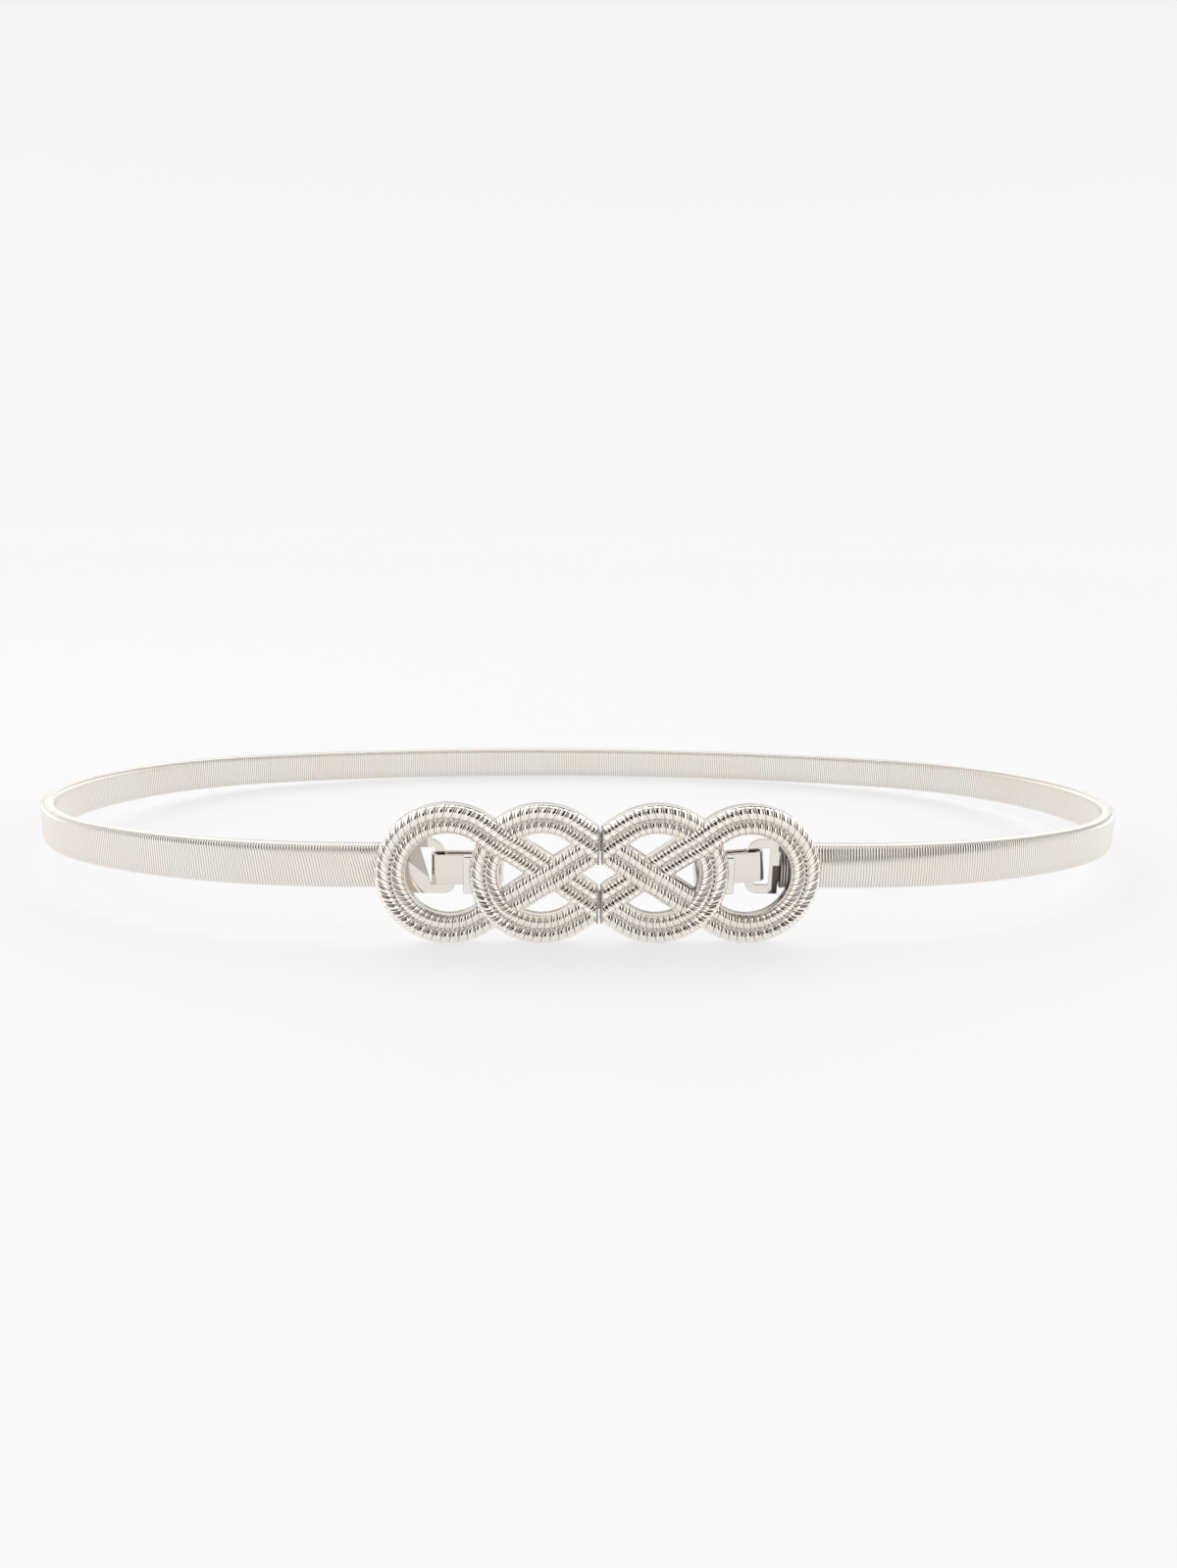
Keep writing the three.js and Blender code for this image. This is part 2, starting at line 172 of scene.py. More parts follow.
# %% Floor
floor_mesh = bpy.data.meshes.new("floor")
FLOOR_REACH = 6.0
corner_ways = ((-1, -1), (1, -1), (1, 1), (-1, 1))
floor_corners = [(x * FLOOR_REACH, y * FLOOR_REACH, 0) for x, y in corner_ways]
floor_mesh.from_pydata(floor_corners, [], [(0, 1, 2, 3)])
floor = bpy.data.objects.new("floor", floor_mesh)
bpy.context.scene.collection.objects.link(floor)
floor_paint = bpy.data.materials.new("floor paint")
floor_paint.use_nodes = True
floor_shader = floor_paint.node_tree.nodes["Principled BSDF"]
floor_shader.inputs["Base Color"].default_value = (0.44, 0.44, 0.445, 1)
floor_shader.inputs["Roughness"].default_value = 0.55
floor_shader.inputs["Specular IOR Level"].default_value = 0.03
floor_shader.inputs["Emission Color"].default_value = (1, 1, 1, 1)
floor_shader.inputs["Emission Strength"].default_value = 0.57
floor_mesh.materials.append(floor_paint)
print("floor, m:", 2 * FLOOR_REACH, "each way")

# %% Lamp
lamp_data = bpy.data.lights.new("soft lamp", "AREA")
lamp_data.size = 0.9
lamp_data.energy = 2.0
lamp = bpy.data.objects.new("soft lamp", lamp_data)
lamp.location = (-0.35, -0.25, 1.1)
lamp.rotation_euler = Vector(lamp.location).to_track_quat("Z", "Y").to_euler()
bpy.context.scene.collection.objects.link(lamp)
print("lamp, W:", lamp_data.energy)

# %% [markdown]
# ## Finishes
# All the metal is plated the same bright silver with a hint of warmth, but each piece wears it
# differently: the wire is drawn, the sheet is rolled and buffed, the casting is tumbled. A mesh
# can carry a number at each of its points; the finish reads the one that holds painted shade and
# turns
# darker and a little rougher there: shade in grooves and creases, and the dark ceiling mirrored
# in faces that look up, painted into the colour.


# %% Plated finishes
WARM_TINT = (1.0, 0.985, 0.955)
GLOSS_VARIES, SHADE_MASK_ROUGH = 0.25, 0.18


def plating(name, colour, painted_shade_colour, roughness, grain, grain_stretch, grain_height):
    """Bright plating over a fine grain: painted shade darkens it where marked, the gloss varies a
    little.
    """
    material = bpy.data.materials.new(name)
    material.use_nodes = True
    tree = material.node_tree
    shader = tree.nodes["Principled BSDF"]
    shader.inputs["Metallic"].default_value = 1
    spot = start(tree, "ShaderNodeTexCoord", "Object")
    fine_values = {"Vector": spot * grain_stretch, "Scale": grain, "Detail": 3.0}
    fine = spot.node("ShaderNodeTexNoise", None, fine_values)
    cloud_values = {"Vector": spot, "Scale": 60.0, "Detail": 2.0}
    cloud = spot.node("ShaderNodeTexNoise", None, cloud_values)
    painted_shade = spot.node("ShaderNodeAttribute", {"attribute_name": "painted_shade"}, None, "Fac")
    warm = tuple(part * tint for part, tint in zip(colour, WARM_TINT)) + (1,)
    face = cloud.step(0.35, 0.65).blend(colour + (1,), warm)
    painted_shade.blend(face, painted_shade_colour + (1,)).feed(shader, "Base Color")
    dullness = roughness + GLOSS_VARIES * roughness * fine + SHADE_MASK_ROUGH * painted_shade
    dullness.feed(shader, "Roughness")
    bump_values = {"Height": fine, "Strength": 0.35, "Distance": grain_height}
    spot.node("ShaderNodeBump", None, bump_values).feed(shader, "Normal")
    return material


# The tone that the plating turns to where shade is painted.
PAINTED_SHADE_TONE = (0.13, 0.105, 0.095)
CAST, WIRE, SHEET = (0.93, 0.895, 0.85), (0.92, 0.885, 0.845), (0.83, 0.785, 0.735)
casting = plating("cast plating", CAST, PAINTED_SHADE_TONE, 0.08, 900, (1, 1, 1), 0.00002)
wire = plating("wire plating", WIRE, PAINTED_SHADE_TONE, 0.14, 700, (1, 1, 0.15), 0.00001)
sheet = plating("sheet plating", SHEET, PAINTED_SHADE_TONE, 0.1, 500, (0.1, 1, 1), 0.000015)
print("finishes:", [material.name for material in (casting, wire, sheet)])

# %% [markdown]
# ## From rings to a mesh
# Band and strands are both one section drawn again and again along a line. `skin` takes the
# rings as one array, joins each to the next with four-sided faces, and closes the two ends. What
# is cut from sheet or cast flat starts as an outline instead, to which `slab` gives a thickness.


# %% Pieces and skins
def belong(name, mesh, material, node):
    """Put a finished mesh in the scene, on the belt's body, in place of a solid."""
    piece = bpy.data.objects.new(name, mesh)
    bpy.context.scene.collection.objects.link(piece)
    mesh.materials.append(material)
    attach(piece, "root")
    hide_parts(node)
    print(name, "has", sum(len(face.vertices) - 2 for face in mesh.polygons), "triangles")


def skin(rings, painted_shade):
    """Rings of points, first to last, as a closed smooth mesh: (ring, point, xyz)."""
    ring_count, point_count = rings.shape[:2]
    first = np.arange(ring_count - 1)[:, None] * point_count
    now = np.arange(point_count)[None, :]
    after = (now + 1) % point_count
    corners = (first + now, first + after, first + point_count + after, first + point_count + now)
    faces = np.stack([corner.ravel() for corner in corners], axis=1).tolist()
    faces.append(list(range(point_count))[::-1])
    faces.append([(ring_count - 1) * point_count + point for point in range(point_count)])
    mesh = bpy.data.meshes.new("skin")
    mesh.from_pydata(rings.reshape(-1, 3).tolist(), [], faces)
    marks = mesh.attributes.new("painted_shade", "FLOAT", "POINT")
    marks.data.foreach_set("value", painted_shade.ravel().astype(np.float32))
    turned = bmesh.new()
    turned.from_mesh(mesh)
    if turned.calc_volume(signed=True) < 0:
        bmesh.ops.reverse_faces(turned, faces=turned.faces)
    turned.to_mesh(mesh)
    turned.free()
    mesh.shade_smooth()
    return mesh


# %% Flat shapes
CIRCLE_STEP = 15
SHARP_FROM = math.radians(40)


def slab(outline, holes, thickness, bevel, lie):
    """A flat outline with holes, given a thickness and round edges, then laid in place."""
    drawing = bpy.data.curves.new("drawing", "CURVE")
    drawing.dimensions = "2D"
    drawing.fill_mode = "BOTH"
    for loop in (outline, *holes):
        line = drawing.splines.new("POLY")
        line.points.add(len(loop) - 1)
        for point, (across, along) in zip(line.points, loop):
            point.co = (across, along, 0, 1)
        line.use_cyclic_u = True
    drawing.extrude = thickness / 2 - bevel
    drawing.bevel_depth = bevel
    drawing.bevel_resolution = 2
    drawing.offset = -bevel
    holder = bpy.data.objects.new("drawing", drawing)
    bpy.context.scene.collection.objects.link(holder)
    bpy.context.view_layer.update()
    shown = holder.evaluated_get(bpy.context.evaluated_depsgraph_get())
    mesh = bpy.data.meshes.new_from_object(shown)
    bpy.data.objects.remove(holder)
    mesh.transform(lie)
    mesh.shade_smooth()
    mesh.set_sharp_from_angle(angle=SHARP_FROM)
    return mesh


def arc(centre, radius, begin, end, steps):
    """Points round an arc, in degrees."""
    angles = np.radians(np.linspace(begin, end, steps + 1))
    return [(centre[0] + radius * math.cos(a), centre[1] + radius * math.sin(a)) for a in angles]


def circle(centre, radius):
    """Points round a full circle, the first one not repeated at the end."""
    return arc(centre, radius, 0, 360 - CIRCLE_STEP, 360 // CIRCLE_STEP - 1)


def rounded_box(low, high, radius, steps):
    """Points round a box with round corners."""
    (left, bottom), (right, top) = low, high
    return [
        *arc((right - radius, bottom + radius), radius, -90, 0, steps),
        *arc((right - radius, top - radius), radius, 0, 90, steps),
        *arc((left + radius, top - radius), radius, 90, 180, steps),
        *arc((left + radius, bottom + radius), radius, 180, 270, steps),
    ]


# %% [markdown]
# ## The band's line
# Seen from above the band runs straight behind the buckle and then bends round in three arcs on
# each side: a shoulder, a tight side and a flat back. Each arc starts in the direction in which
# the last one ended, so the line has no kink.

# %% Loop
waist_half = (band_high.x - band_low.x - BAND_DEEP) / 2
STRAIGHT = 55.5 * MM
SHOULDER_TURN, BACK_TURN = math.radians(35.5), math.radians(22.5)
SHOULDER_SHARE = 0.745
shoulder_radius = SHOULDER_SHARE * waist_half
shoulder_end = STRAIGHT + shoulder_radius * math.sin(SHOULDER_TURN)
side_radius = (waist_half - shoulder_end) / (1 - math.sin(SHOULDER_TURN))
side_end = waist_half - side_radius * (1 - math.sin(BACK_TURN))
back_radius = side_end / math.sin(BACK_TURN)
ARCS = (
    {"radius": shoulder_radius, "turn": SHOULDER_TURN},
    {"radius": side_radius, "turn": math.pi - SHOULDER_TURN - BACK_TURN},
    {"radius": back_radius, "turn": BACK_TURN},
)
half_length = STRAIGHT + sum(bend["radius"] * bend["turn"] for bend in ARCS)


def loop_at(along):
    """Places on the right half, and how far the line has turned there, by the length along it."""
    x, y = np.minimum(along, STRAIGHT), np.zeros_like(along)
    heading = np.zeros_like(along)
    from_x, from_y, from_heading, begin = STRAIGHT, 0.0, 0.0, STRAIGHT
    for bend in ARCS:
        radius = bend["radius"]
        centre_x = from_x - radius * math.sin(from_heading)
        centre_y = from_y + radius * math.cos(from_heading)
        within = along > begin
        turned = from_heading + (along - begin) / radius
        x = np.where(within, centre_x + radius * np.sin(turned), x)
        y = np.where(within, centre_y - radius * np.cos(turned), y)
        heading = np.where(within, turned, heading)
        begin += radius * bend["turn"]
        from_heading += bend["turn"]
        from_x = centre_x + radius * math.sin(from_heading)
        from_y = centre_y - radius * math.cos(from_heading)
    return x, y, heading


loop_deep = float(loop_at(np.array([half_length]))[1][0])
print("once round, m:", round(2 * half_length, 3))

# %% [markdown]
# ## The coil
# Each turn of the wire is a narrow rib across the band. Modelled as real ribs they catch the
# light one by one and roughen the outline, which a painted bump can't. Six rings make one turn:
# they follow the round wire down into the groove and up again. The ribs lean near the left end,
# where the plate pulls the coil askew. Toward both ends the upper part is pressed back a little,
# most of all on the right, and the last few turns lie in the shade of the buckle.

# %% Measures of the coil
WIRE_THICK = 0.65 * MM
BAND_HIGH = 10 * MM
CORNER, CORNER_STEPS, FLAT_STEPS = 1.1 * MM, 4, 5
# Rows of one turn: where it lies, how far it is sunk, and how much shade is painted there,
# darkest in the groove.
TURN_ROWS = (
    {"share": 0.0, "sunk": 0.26, "painted_shade": 0.7},
    {"share": 0.08, "sunk": 0.16, "painted_shade": 0.3},
    {"share": 0.24, "sunk": 0.05, "painted_shade": 0.0},
    {"share": 0.5, "sunk": 0.0, "painted_shade": 0.0},
    {"share": 0.76, "sunk": 0.05, "painted_shade": 0.0},
    {"share": 0.92, "sunk": 0.16, "painted_shade": 0.3},
)
LEFT_LEAN, LEAN_REACH, LEAN_FADE = math.tan(math.radians(15)), 70 * MM, 1.3
PRESS, PRESS_REACH = math.tan(math.radians(12)), 90 * MM
TOP_PART = 3.2 * MM
END_REACH, END_SHADE = 4 * MM, 0.55
FIT = 0.35 * MM
PLATE_FROM = 33.2 * MM
PLATE_LONG = {"left": 10.2 * MM, "right": 7.4 * MM}
left_end = half_length * 2 - (PLATE_FROM + PLATE_LONG["left"] + FIT)
right_end = PLATE_FROM + PLATE_LONG["right"] + FIT
front_lift = band_high.z - BAND_HIGH
print("the coil starts", round(right_end / MM, 2), "mm right of the seam")


# %% The band's sections
def band_rings(along, sunk):
    """Sections of the band at lengths along the loop, each sunk by a share of the wire."""
    mirrored = along > half_length
    x, y, heading = loop_at(np.where(mirrored, 2 * half_length - along, along))
    flip = np.where(mirrored, -1.0, 1.0)
    inset = sunk * WIRE_THICK
    corner_x, corner_z = BAND_DEEP / 2 - CORNER, BAND_HIGH / 2 - CORNER
    flat_side = np.linspace(-corner_z, corner_z, FLAT_STEPS + 1)[1:-1]
    outline = np.array(
        [
            *arc((corner_x, -corner_z), CORNER, -90, 0, CORNER_STEPS),
            *[(BAND_DEEP / 2, z) for z in flat_side],
            *arc((corner_x, corner_z), CORNER, 0, 90, CORNER_STEPS),
            *arc((-corner_x, corner_z), CORNER, 90, 180, CORNER_STEPS),
            *[(-BAND_DEEP / 2, z) for z in flat_side[::-1]],
            *arc((-corner_x, -corner_z), CORNER, 180, 270, CORNER_STEPS),
        ]
    )
    shrink_x = 1 - 2 * inset[:, None] / BAND_DEEP
    shrink_z = 1 - 2 * inset[:, None] / BAND_HIGH
    out = outline[None, :, 0] * shrink_x
    rise = outline[None, :, 1] * shrink_z
    right_near = np.clip(1 - (along - right_end) / PRESS_REACH, 0, 1)[:, None]
    upper = np.clip(rise, 0, None)
    out = out - upper * (1 + upper / BAND_HIGH) * PRESS * right_near
    left_near = np.clip(1 - (left_end - along) / LEAN_REACH, 0, 1)[:, None]
    out = out - np.clip(rise - TOP_PART, 0, None) * PRESS * left_near
    slide = -(rise + BAND_HIGH / 2) * LEFT_LEAN * left_near**LEAN_FADE
    out_x, out_y = np.sin(heading) * flip, -np.cos(heading)
    on_x, on_y = np.cos(heading), np.sin(heading) * flip
    middle = front_lift * (1 - y / loop_deep) + BAND_HIGH / 2
    px = (x * flip)[:, None] + out_x[:, None] * out + on_x[:, None] * slide
    py = (front_y + y)[:, None] + out_y[:, None] * out + on_y[:, None] * slide
    pz = middle[:, None] + rise
    return np.stack([px, py, pz], axis=2)


# %% Coil
turn_count = round((left_end - right_end) / WIRE_THICK)
pitch = (left_end - right_end) / turn_count
print("turns of wire:", turn_count, "every", round(pitch / MM, 3), "mm")

STRETCHES = ("coil_right", "coil_back", "coil_left")
for number, name in enumerate(STRETCHES):
    turns = range(turn_count * number // 3, turn_count * (number + 1) // 3)
    along = [right_end + (turn + row["share"]) * pitch for turn in turns for row in TURN_ROWS]
    sunk = [row["sunk"] for _ in turns for row in TURN_ROWS]
    deep = [row["painted_shade"] for _ in turns for row in TURN_ROWS]
    along.append(right_end + (turns[-1] + 1) * pitch)
    sunk.append(TURN_ROWS[0]["sunk"])
    deep.append(TURN_ROWS[0]["painted_shade"])
    along = np.array(along)
    rings = band_rings(along, np.array(sunk))
    # Painted shade: the grooves, and more on the last turns at both ends, in the shade of the
    # buckle.
    end_near = np.clip(1 - np.minimum(along - right_end, left_end - along) / END_REACH, 0, 1)
    dark = np.array(deep) + END_SHADE * end_near
    marks = np.repeat(dark[:, None], rings.shape[1], axis=1)
    belong(name, skin(rings, marks), wire, "spring_band")

# %% [markdown]
# ## Measures of the knot
# Two circles and the straight runs that cross beside them give the whole knot. The strand goes
# round a circle and leaves it in a straight line toward the seam, so the only choices are the
# circle's size, the runs' slope, and where they cross.

# %% Knot measures
knot_low, knot_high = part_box("buckle_half_right")
STRAND_WIDE, STRAND_DEEP = 6.6 * MM, 4.2 * MM
CROSSING_SWING, SWING_REACH = 0.6 * MM, 5.2 * MM
SLOPE = math.radians(33.5)
CROSSING_OUT = 10.25 * MM
lobe_radius = (knot_high.z - knot_low.z - STRAND_WIDE) / 2
knot_middle = (knot_high.z + knot_low.z) / 2
knot_back = knot_low.y + STRAND_DEEP + CROSSING_SWING
seam_half = knot_low.x
inner_lobe = lobe_radius / math.sin(SLOPE) - CROSSING_OUT
outer_lobe = lobe_radius / math.sin(SLOPE) + CROSSING_OUT
seam_crossing = CROSSING_OUT * math.tan(SLOPE)
open_angle = math.pi / 2 + SLOPE
print("lobe radius, mm:", round(lobe_radius / MM, 2))
print("lobes out from the seam, mm:", round(inner_lobe / MM, 2), round(outer_lobe / MM, 2))


def strand_at(lobe, seam_z, along):
    """Middle and direction of a strand, by the length along it from the seam's plane."""
    touch_x = lobe + lobe_radius * math.cos(open_angle)
    touch_z = lobe_radius * math.sin(open_angle)
    run = touch_x / math.cos(SLOPE)
    bend = 2 * open_angle * lobe_radius
    on_bend = np.clip(along - run, 0, bend)
    angle = open_angle - on_bend / lobe_radius
    x = lobe + lobe_radius * np.cos(angle)
    z = lobe_radius * np.sin(angle)
    before, beyond = np.minimum(along - run, 0), np.maximum(along - run - bend, 0)
    toward_x, toward_z = np.sin(angle), -np.cos(angle)
    x = x + toward_x * (before + beyond)
    z = z + toward_z * (before + beyond)
    return x, z, toward_x, toward_z, 2 * run + bend


# %% [markdown]
# ## Over and under
# At each crossing one strand rises and the other dips, by the same amount, and levels out again
# within a strand's width. The table gives the crossings in the order in which a strand meets
# them, with 1 for over and -1 for under. The flat backs are kept a hair apart there too, because
# two faces in one plane would show as black.

# %% Weave
lobe_reach = (outer_lobe - inner_lobe) / 2
lobe_meet = math.sqrt(lobe_radius**2 - lobe_reach**2)
SEAM_TOP, SEAM_FOOT = (0.0, seam_crossing), (0.0, -seam_crossing)
LOBES_TOP = (inner_lobe + lobe_reach, lobe_meet)
LOBES_FOOT = (inner_lobe + lobe_reach, -lobe_meet)
MIDDLE = (CROSSING_OUT, 0.0)
APART = 0.06 * MM
MEET_TRIES, MEET_NEAR = 2401, 1.1 * MM
STRANDS = (
    {
        "lobe": outer_lobe,
        "seam_z": -seam_crossing,
        "weave": (
            (SEAM_FOOT, 1), (MIDDLE, -1), (LOBES_TOP, 1),
            (LOBES_FOOT, -1), (MIDDLE, 1), (SEAM_TOP, -1),
        ),
    },
    {
        "lobe": inner_lobe,
        "seam_z": seam_crossing,
        "weave": ((SEAM_TOP, 1), (LOBES_TOP, -1), (LOBES_FOOT, 1), (SEAM_FOOT, -1)),
    },
)


def meeting_places(row):
    """Lengths along a strand at which it meets each crossing, in order."""
    length = float(strand_at(row["lobe"], row["seam_z"], np.zeros(1))[4])
    tries = np.linspace(0, length, MEET_TRIES)
    strand_steps = STRAND_WIDE / length * MEET_TRIES
    x, z = strand_at(row["lobe"], row["seam_z"], tries)[:2]
    found, after = [], 0
    for (at_x, at_z), way in row["weave"]:
        away = np.hypot(x - at_x, z - at_z)
        near = np.flatnonzero((away < MEET_NEAR) & (np.arange(MEET_TRIES) >= after))
        stretch = near[near < near[0] + strand_steps]
        best = stretch[np.argmin(away[stretch])]
        after = best + int(strand_steps / 2)
        found.append((tries[best], way))
    return found, length


for row in STRANDS:
    row["meets"], row["length"] = meeting_places(row)
    print("strand of", round(row["length"] / MM, 1), "mm meets", len(row["meets"]), "crossings")

# %% [markdown]
# ## The strand
# A strand carries two twisted ropes with a row of fine grains between them, inside a thin plain
# rim. Each twist is a broad ridge and a thin one. The trick that keeps the mesh small is to let
# its rings lean with the ridges: a twist then needs only sixteen rings, and every crease falls
# on an edge of the mesh. The creases lean more where the strand runs steeply. Shade is painted
# into the creases, darkest on the upper side of a rope: painted reflection of the dark ceiling,
# which the real casting mirrors there. Shade is painted between the grains too, and on the wall
# that faces into a hole, most of all where the strand runs steeply.

# %% Strand relief
TWIST = 1.72 * MM
LEAN_FLAT, LEAN_STEEP = 14, 28
RIDGE_DEEP = 0.58 * MM
# Rows of one twist: where it lies, how far it is sunk, and how much shade is painted there,
# darkest in the crease.
RIDGE_ROWS = (
    {"share": 0.00, "sunk": 1.00, "painted_shade": 1.0},
    {"share": 0.03, "sunk": 0.62, "painted_shade": 0.9},
    {"share": 0.07, "sunk": 0.28, "painted_shade": 0.6},
    {"share": 0.13, "sunk": 0.09, "painted_shade": 0.15},
    {"share": 0.22, "sunk": 0.01, "painted_shade": 0.0},
    {"share": 0.38, "sunk": 0.01, "painted_shade": 0.0},
    {"share": 0.47, "sunk": 0.09, "painted_shade": 0.0},
    {"share": 0.53, "sunk": 0.20, "painted_shade": 0.0},
    {"share": 0.575, "sunk": 0.34, "painted_shade": 0.2},
    {"share": 0.605, "sunk": 0.44, "painted_shade": 0.4},
    {"share": 0.635, "sunk": 0.32, "painted_shade": 0.2},
    {"share": 0.68, "sunk": 0.20, "painted_shade": 0.0},
    {"share": 0.75, "sunk": 0.12, "painted_shade": 0.0},
    {"share": 0.85, "sunk": 0.12, "painted_shade": 0.0},
    {"share": 0.92, "sunk": 0.28, "painted_shade": 0.5},
    {"share": 0.97, "sunk": 0.62, "painted_shade": 0.9},
)
GRAIN_EVERY, GRAIN_HIGH = 1.1 * MM, 0.32 * MM
# Painted shade: in the creases, more on upper sides that mirror the dark ceiling, between grains,
# on hole walls.
ROPE_SHADE, UPPER_SHADE, GRAIN_SHADE, WALL_EVEN = 0.12, 0.9, 0.55, 0.25
print("twists go", RIDGE_DEEP / MM, "mm deep, every", TWIST / MM, "mm")

# %% [markdown]
# ## The strand's section
# The section runs from the back's edge up the wall, over the rim and a rope, to the groove of
# grains, and down the other side. Every point of it says what it belongs to: `rope` and `grain`
# are how strongly the twist and the grains shape it, `wall` marks the plain wall, and `side` is
# how far its face looks sideways.

# %% Section
RIM_OUT, RIM_IN = STRAND_WIDE / 2, STRAND_WIDE / 2 - 0.14 * MM
BACK_ROUND, WALL_END = 0.25 * MM, 0.3 * MM
RIM_ROUND = (
    {"in": 0.0, "under": 0.15 * MM},
    {"in": 0.04 * MM, "under": 0.03 * MM},
    {"in": 0.08 * MM, "under": 0.0},
)
GROOVE, GRAIN_BESIDE = 0.25 * MM, 0.75
RIM_HIGH, OUTER_FOOT, INNER_FOOT, GROOVE_HIGH = 2.6 * MM, 2.55 * MM, 3.3 * MM, 3.2 * MM
ROPE_POINTS, ROPE_FROM = 11, 4
rope_middle = (RIM_IN + GROOVE) / 2
rope_half = (RIM_IN - GROOVE) / 2


def section_point(across, rise, **share):
    """One point of the section."""
    return {"across": across, "rise": rise, "rope": 0, "grain": 0, "wall": 0, "side": 0, **share}


def half_section():
    """One side of the strand's section, from the back edge in to the middle."""
    rows = [
        section_point(RIM_OUT - BACK_ROUND, 0.0, wall=1),
        section_point(RIM_OUT, BACK_ROUND, wall=1),
        section_point(RIM_OUT, RIM_HIGH - WALL_END, wall=1),
        *[section_point(RIM_OUT - row["in"], RIM_HIGH - row["under"]) for row in RIM_ROUND],
    ]
    for angle in np.radians(np.linspace(ROPE_FROM, 180 - ROPE_FROM, ROPE_POINTS)):
        foot = OUTER_FOOT if angle < math.pi / 2 else INNER_FOOT
        high = foot + (STRAND_DEEP - foot) * math.sin(angle)
        across = rope_middle + rope_half * math.cos(angle)
        shares = {"rope": math.sin(angle) ** 0.5, "side": math.cos(angle)}
        rows.append(section_point(across, high, **shares))
    rows.append(section_point(GROOVE / 2, GROOVE_HIGH, grain=GRAIN_BESIDE))
    return rows


side_rows = half_section()
middle_row = section_point(0.0, GROOVE_HIGH, grain=1)
other_side = [{**row, "across": -row["across"], "side": -row["side"]} for row in side_rows[::-1]]
section_rows = [*side_rows, middle_row, *other_side]
section = {key: np.array([row[key] for row in section_rows]) for key in middle_row}
print("points in the strand's section:", len(section_rows))


# %% Strand
def strand_mesh(row, wall_shade):
    """One strand with its relief, from past the seam round its lobe and back past the seam."""
    past = STRAND_WIDE
    twists = round((row["length"] + 2 * past) / TWIST)
    twist = (row["length"] + 2 * past) / twists
    rows = [(number, part) for number in range(twists) for part in RIDGE_ROWS]
    base = np.array([(number + part["share"]) * twist - past for number, part in rows])
    sunk = np.array([part["sunk"] for _, part in rows])
    deep = np.array([part["painted_shade"] for _, part in rows])
    across = section["across"][None, :]
    steep = strand_at(row["lobe"], row["seam_z"], base)[3] ** 4 * np.ones_like(base)
    lean = np.tan(np.radians(LEAN_FLAT + LEAN_STEEP * steep))
    along = base[:, None] - lean[:, None] * across
    x, z, toward_x, toward_z, _ = strand_at(row["lobe"], row["seam_z"], along)
    lift = np.zeros_like(along)
    for at, way in row["meets"]:
        away = np.clip(np.abs(along - at) / SWING_REACH, 0, 1)
        lift += way * CROSSING_SWING * np.cos(away * math.pi / 2) ** 2
    grain = GRAIN_HIGH * np.sin(along * math.pi / GRAIN_EVERY) ** 2 * section["grain"]
    rise = section["rise"][None, :] - RIDGE_DEEP * sunk[:, None] * section["rope"] + grain
    back = np.maximum(rise, APART * (1 + lift / CROSSING_SWING))
    rise = np.where(section["rise"][None, :] > RIM_HIGH / 2, rise + lift, back)
    points = np.stack([x - toward_z * across, knot_back - rise, z + toward_x * across], axis=2)
    points[:, :, 2] += knot_middle
    # Painted shade and painted reflection: creases darkest where they look up at the dark
    # ceiling, then between grains and on the walls that face into a hole.
    upward = np.clip(toward_x * section["side"], 0, 1) ** 0.5
    dark = deep[:, None] * section["rope"] * (ROPE_SHADE + UPPER_SHADE * upward)
    dark = np.where(section["grain"] > 0, (1 - grain / GRAIN_HIGH) * GRAIN_SHADE, dark)
    dark += section["wall"] * (across < 0) * (WALL_EVEN + toward_z**2) * wall_shade
    return skin(points, dark)


# %% [markdown]
# ## A half of the knot
# The two strands are cut off flat just before the seam, where the real casting ends in a plain
# wall that is always in shade; that shade is painted on the wall. The bar that the link goes
# round, its two lugs and the pegs for the hook are cast on behind, the flange with a little
# painted shade. The left half is the right one mirrored, ropes and all; only the walls of its
# holes get less painted shade, since they face away from the dark side of the room.

# %% Knot measures at the seam and behind
SEAM_WALL, SEAM_STEP = 0.42 * MM, 0.36 * MM
# Painted shade on the seam walls and a little on the flange.
SEAM_SHADE, FLANGE_SHADE = 0.7, 0.1
SEAM_BEVEL, CAST_BEVEL, PEG_BEVEL = 0.1 * MM, 0.3 * MM, 0.2 * MM
WALL_HIGH = 4.3 * MM
LINK_BAR = {"width": 3.4 * MM, "depth": 1.6 * MM, "spread": 10 * MM, "lug": 1.6 * MM}
FLANGE = {"width": 1.3 * MM, "height": 8.7 * MM, "depth": 2.0 * MM, "lower": 0.35 * MM}
LINK_STRIP, LINK_DEEP = 0.6 * MM, 3.5 * MM
PEG = {"radius": 0.9 * MM, "fixed": 4.6 * MM, "hooked": 3.6 * MM}
HOOK_SHEET = 1.2 * MM
BLOCK_STEPS = 3
INTO_STRAND = STRAND_DEEP / 4
print("the ropes stop", round((seam_half + SEAM_STEP) / MM, 2), "mm from the seam")


# %% Blocks, cuts and mirrors
def upright(near, far):
    """Lays a drawing made in x and z upright, between two distances behind the knot's back."""
    turn = Matrix.Rotation(math.pi / 2, 4, "X")
    return Matrix.Translation((0, knot_back + (near + far) / 2, knot_middle)) @ turn


